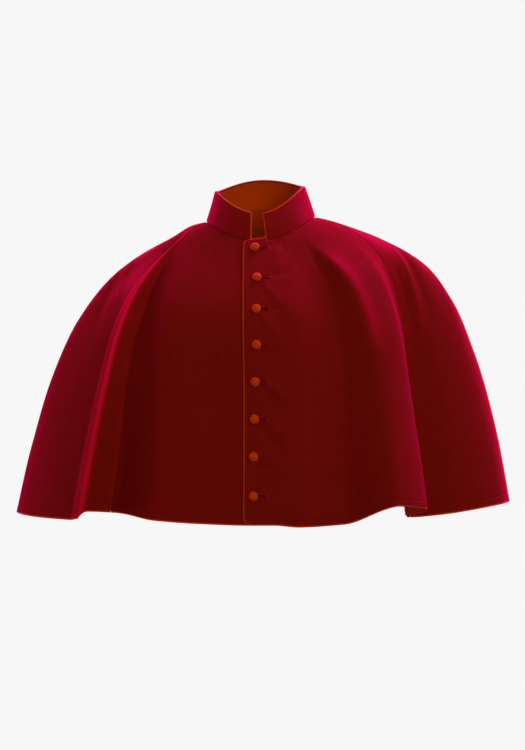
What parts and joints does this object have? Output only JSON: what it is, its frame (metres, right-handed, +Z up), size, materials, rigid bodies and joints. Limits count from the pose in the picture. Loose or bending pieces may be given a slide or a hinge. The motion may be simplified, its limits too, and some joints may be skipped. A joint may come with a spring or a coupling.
{
  "type": "mozzetta",
  "caption": "Elbow-length clerical shoulder cape with a stand collar, buttoned down the front, edged with piping.",
  "frame": {"origin": "middle of the neck seam, where the cape rests round the wearer's neck and shoulders", "axes": "+Z up, -Y the front of the wearer, +X the wearer's left"},
  "size_m": [0.6675, 0.3609, 0.4667],
  "materials": {
    "wool": "fine crimson wool with a soft sheen",
    "lining": "orange-scarlet satin",
    "piping": "orange silk piping",
    "button": "orange-scarlet silk over a domed mould"
  },
  "bodies": {
    "root": {"right_front": "wool", "left_front": "wool", "left_back": "wool", "right_back": "wool", "left_front_lining": "lining", "collar": "wool", "collar_facing": "lining", "collar_piping": "piping", "left_front_piping": "piping", "right_front_piping": "piping", "left_back_piping": "piping", "right_back_piping": "piping", "button_1": "button", "button_2": "button", "button_3": "button", "button_4": "button", "button_5": "button", "button_6": "button", "button_7": "button", "button_8": "button"}
  },
  "joints": []
}
